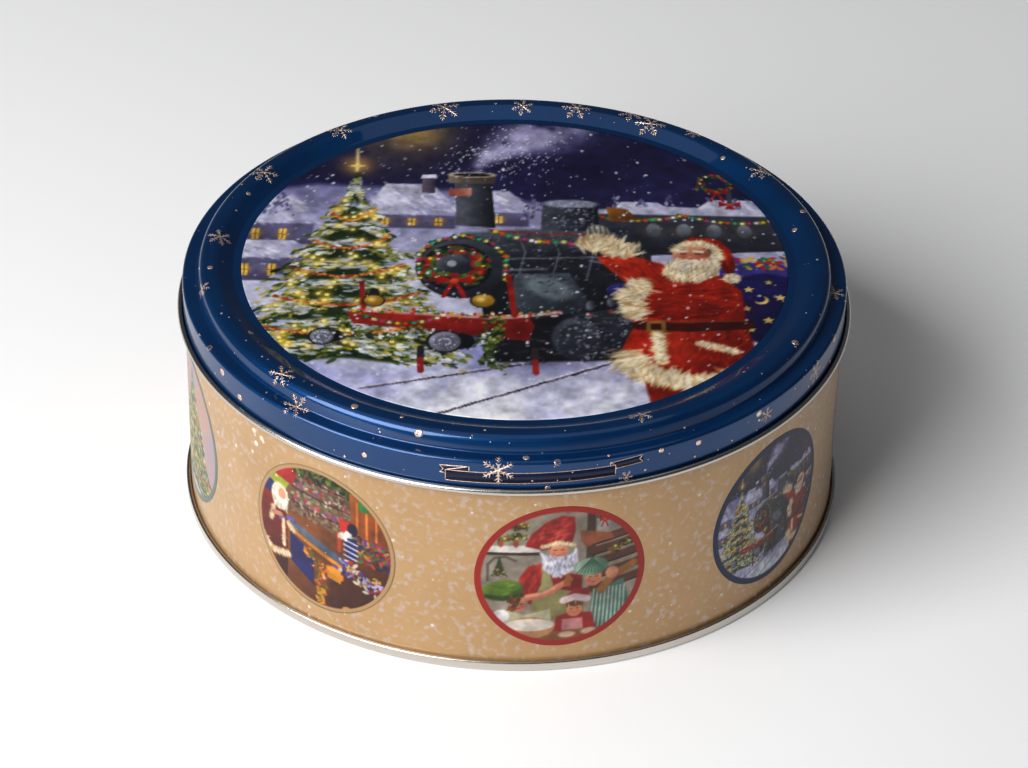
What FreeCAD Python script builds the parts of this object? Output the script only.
import FreeCAD, Part
import math
import os

# A round tinplate cookie tin: a rolled wall locked at the back, a stamped base seamed on to it,
# and a drawn lid that slips over the mouth.  Millimetres, +Z up, z = 0 where the tin stands.

# Sheet metal
SHEET = 0.25                  # thickness of the tinplate, the same in all three pieces

# Tin body
BODY_DIAMETER = 193.6         # outside of the wall
BODY_HEIGHT = 71.5            # from the ground to the top of the mouth
MOUTH_CURL = 2.0              # outside diameter of the edge rolled inwards round the mouth

# Base and its double seam
FLOOR_LIFT = 2.5              # the base panel's underside above the ground
SEAM_HEIGHT = 3.0             # ground to the top of the seam
SEAM_OVERHANG = 1.6           # how far the seam stands out from the wall
SEAM_BEND = 0.45              # bend radius of the seam's outer corners, at mid sheet
HOOK_OVERLAP = 1.2            # how far the two hooks lap each other inside the seam
SEAM_SLIP = 0.05              # between the wall and the base's cheek inside it

# Lock seam up the back of the wall
LOCK_WIDTH = 4.0              # width of the folded strip on the inside
LOCK_FOLDS = 3                # layers of sheet lying behind the wall in the strip
LOCK_LINE_WIDTH = 0.5         # the fine groove that shows outside
LOCK_LINE_DEPTH = 0.1
LOCK_END_GAP = 0.5            # the strip stops this far from the base and from the curl

# Lid
LID_CLEARANCE = 0.25          # between the wall and the lid's skirt, all round
LID_REST_GAP = 0.1            # between the mouth and the shoulder resting on it
SKIRT_DEPTH = 10.45           # top of the shoulder to the bottom of the lid's curl
LID_CURL = 1.95               # outside diameter of the edge rolled outwards
SHOULDER_WIDTH = 4.2          # skirt to the foot of the bead
SHOULDER_BEND = 0.9
BEAD_OUTER_RUN = 1.2          # foot of the bead to its outer crest
BEAD_CREST_WIDTH = 4.4        # outer crest to inner crest
BEAD_INNER_RUN = 4.9          # inner crest down to the edge of the flat panel
BEAD_HEIGHT = 2.6             # inner crest above the panel
BEAD_CREST_DROP = 0.3         # the outer crest below the inner one
PANEL_RISE = 2.05             # panel above the shoulder
BEAD_FOOT_BEND = 0.7
BEAD_OUTER_BEND = 2.2
BEAD_INNER_BEND = 5.0
PANEL_EDGE_BEND = 1.5

CURL_END_GAP = 0.2            # a rolled edge stops this far short of its own wall

# Radii and heights at mid sheet, worked out from the sizes above
half = SHEET / 2
wall_radius = BODY_DIAMETER / 2 - half
skirt_radius = BODY_DIAMETER / 2 + LID_CLEARANCE + half
shoulder_height = BODY_HEIGHT + LID_REST_GAP + half
cheek_radius = wall_radius - SHEET - SEAM_SLIP
layer_pitch = SEAM_OVERHANG / 3
base_hook_radius = wall_radius + layer_pitch
body_hook_radius = wall_radius + 2 * layer_pitch
seam_radius = wall_radius + SEAM_OVERHANG
flange_height = SHEET + half
hook_middle = SEAM_HEIGHT / 2 + half


def unit(dx, dz):
    """The direction (dx, dz) with length one."""
    length = math.hypot(dx, dz)
    return dx / length, dz / length


def bend_points(before, corner, after, radius):
    """Start, middle and end of the arc that rounds a corner, as (r, z) pairs."""
    to_before = unit(before[0] - corner[0], before[1] - corner[1])
    to_after = unit(after[0] - corner[0], after[1] - corner[1])
    half_angle = math.acos(to_before[0] * to_after[0] + to_before[1] * to_after[1]) / 2
    tangent = radius / math.tan(half_angle)
    middle = unit(to_before[0] + to_after[0], to_before[1] + to_after[1])
    to_middle = radius / math.sin(half_angle) - radius
    start = (corner[0] + to_before[0] * tangent, corner[1] + to_before[1] * tangent)
    end = (corner[0] + to_after[0] * tangent, corner[1] + to_after[1] * tangent)
    return start, (corner[0] + middle[0] * to_middle, corner[1] + middle[1] * to_middle), end


def turn_at(before, corner, after):
    """+1 where the path turns left at a corner and -1 where it turns right."""
    cross = ((corner[0] - before[0]) * (after[1] - corner[1])
             - (corner[1] - before[1]) * (after[0] - corner[0]))
    return 1 if cross > 0 else -1


def beside(path, side):
    """The path moved sideways by half a sheet, to its left (side 1) or its right (side -1).

    A path is a list of (r, z, bend radius) corners.  The bend radius of a corner grows on the
    outside of the turn and shrinks on the inside, so the two sides stay one sheet apart.
    """
    moved = []
    for i, (r, z, bend) in enumerate(path):
        before = path[max(i - 1, 0)]
        after = path[min(i + 1, len(path) - 1)]
        into = unit(r - before[0], z - before[1]) if i else unit(after[0] - r, after[1] - z)
        out = unit(after[0] - r, after[1] - z) if i < len(path) - 1 else into
        normal = unit(-into[1] - out[1], into[0] + out[0])
        reach = side * half / (normal[0] * -into[1] + normal[1] * into[0])
        turn = turn_at(before, (r, z), after) if 0 < i < len(path) - 1 else 0
        moved.append((r + normal[0] * reach, z + normal[1] * reach, bend - turn * side * half))
    return moved


def edges_along(path):
    """Straight edges joined by tangent arcs along a path, in the XZ plane."""
    def point(pair):
        return FreeCAD.Vector(pair[0], 0, pair[1])

    edges = []
    reached = path[0][:2]
    for before, corner, after in zip(path, path[1:], path[2:]):
        start, middle, end = bend_points(before, corner, after, corner[2])
        if math.dist(reached, start) > 1e-6:
            edges.append(Part.makeLine(point(reached), point(start)))
        edges.append(Part.Arc(point(start), point(middle), point(end)).toShape())
        reached = end
    edges.append(Part.makeLine(point(reached), point(path[-1])))
    return edges


def spun_sheet(path):
    """A solid of one sheet thickness that follows the path right round the tin's axis."""
    left = beside(path, 1)
    right = beside(path, -1)
    edges = edges_along(left) + edges_along(right)
    for end in (0, -1):
        a = FreeCAD.Vector(left[end][0], 0, left[end][1])
        b = FreeCAD.Vector(right[end][0], 0, right[end][1])
        edges.append(Part.makeLine(a, b))
    outline = Part.Wire(Part.__sortEdges__(edges))
    return Part.Face(outline).revolve(FreeCAD.Vector(0, 0, 0), FreeCAD.Vector(0, 0, 1), 360)


def rolled_edge(radius, height, side, up, diameter):
    """Corners of an edge rolled round into a small tube, from the sheet at the given radius.

    The sheet comes up (up = 1) or down (up = -1) to the height of the tube's far side, and the
    tube lies inwards (side = -1) or outwards (side = 1) of the sheet.
    """
    across = diameter - SHEET
    bend = across / 2
    return [(radius, height, bend),
            (radius + side * across, height, bend),
            (radius + side * across, height - up * across, bend),
            (radius + side * (SHEET + CURL_END_GAP), height - up * across, 0)]


def lock_seam(shell):
    """The wall with its folded lock seam: a strip inside and a fine line outside, at the back."""
    bottom = FLOOR_LIFT + SHEET + LOCK_END_GAP
    top = BODY_HEIGHT - MOUTH_CURL - LOCK_END_GAP
    outer = BODY_DIAMETER / 2
    inner = outer - SHEET * (1 + LOCK_FOLDS)
    ring = Part.makeCylinder(outer - half, top - bottom, FreeCAD.Vector(0, 0, bottom))
    ring = ring.cut(Part.makeCylinder(inner, top - bottom, FreeCAD.Vector(0, 0, bottom)))
    sector = Part.makeBox(LOCK_WIDTH, outer, top - bottom, FreeCAD.Vector(-LOCK_WIDTH / 2, 0, bottom))
    strip = ring.common(sector)
    line_bottom = SEAM_HEIGHT + LOCK_END_GAP
    line = Part.makeBox(LOCK_LINE_WIDTH, 1, top - line_bottom,
                        FreeCAD.Vector(LOCK_WIDTH / 2, outer - LOCK_LINE_DEPTH - 0.01, line_bottom))
    return shell.fuse(strip).cut(line).removeSplitter()


def body_wall():
    """The rolled wall: hooked into the base seam below and curled inwards round the mouth."""
    hook_top = hook_middle + HOOK_OVERLAP / 2
    path = [(body_hook_radius, hook_top, 0),
            (body_hook_radius, flange_height, layer_pitch / 2),
            (wall_radius, flange_height, layer_pitch / 2)]
    path += rolled_edge(wall_radius, BODY_HEIGHT - half, -1, 1, MOUTH_CURL)
    return lock_seam(spun_sheet(path))


def base():
    """The stamped base: a raised panel, a cheek inside the wall, and the seam round its foot."""
    hook_bottom = hook_middle - HOOK_OVERLAP / 2
    panel_height = FLOOR_LIFT + half
    path = [(0, panel_height, 0),
            (cheek_radius, panel_height, SEAM_BEND),
            (cheek_radius, half, SEAM_BEND),
            (seam_radius, half, SEAM_BEND),
            (seam_radius, SEAM_HEIGHT - half, SEAM_BEND),
            (base_hook_radius, SEAM_HEIGHT - half, SEAM_BEND),
            (base_hook_radius, hook_bottom, 0)]
    return spun_sheet(path)


def lid():
    """The drawn lid: flat panel, raised bead, shoulder, skirt, and an edge curled outwards."""
    bead_foot = skirt_radius + half - SHOULDER_WIDTH
    outer_crest = bead_foot - BEAD_OUTER_RUN
    inner_crest = outer_crest - BEAD_CREST_WIDTH
    panel_edge = inner_crest - BEAD_INNER_RUN
    panel_height = shoulder_height + PANEL_RISE
    crest_height = panel_height + BEAD_HEIGHT
    curl_bottom = shoulder_height + half - SKIRT_DEPTH + half
    path = [(0, panel_height, 0),
            (panel_edge, panel_height, PANEL_EDGE_BEND),
            (inner_crest, crest_height, BEAD_INNER_BEND),
            (outer_crest, crest_height - BEAD_CREST_DROP, BEAD_OUTER_BEND),
            (bead_foot, shoulder_height, BEAD_FOOT_BEND),
            (skirt_radius, shoulder_height, SHOULDER_BEND)]
    path += rolled_edge(skirt_radius, curl_bottom, 1, -1, LID_CURL)
    return spun_sheet(path)


os.makedirs("parts", exist_ok=True)
for name, solid in (("body_wall", body_wall()), ("base", base()), ("lid", lid())):
    if not solid.isValid() or len(solid.Solids) != 1:
        raise RuntimeError(name + " is not one valid solid")
    solid.exportStep("parts/" + name + ".step")
    box = solid.optimalBoundingBox(True, False)
    print(name, "volume %.0f mm3" % solid.Volume, "x %.2f..%.2f" % (box.XMin, box.XMax),
          "z %.3f..%.3f" % (box.ZMin, box.ZMax))
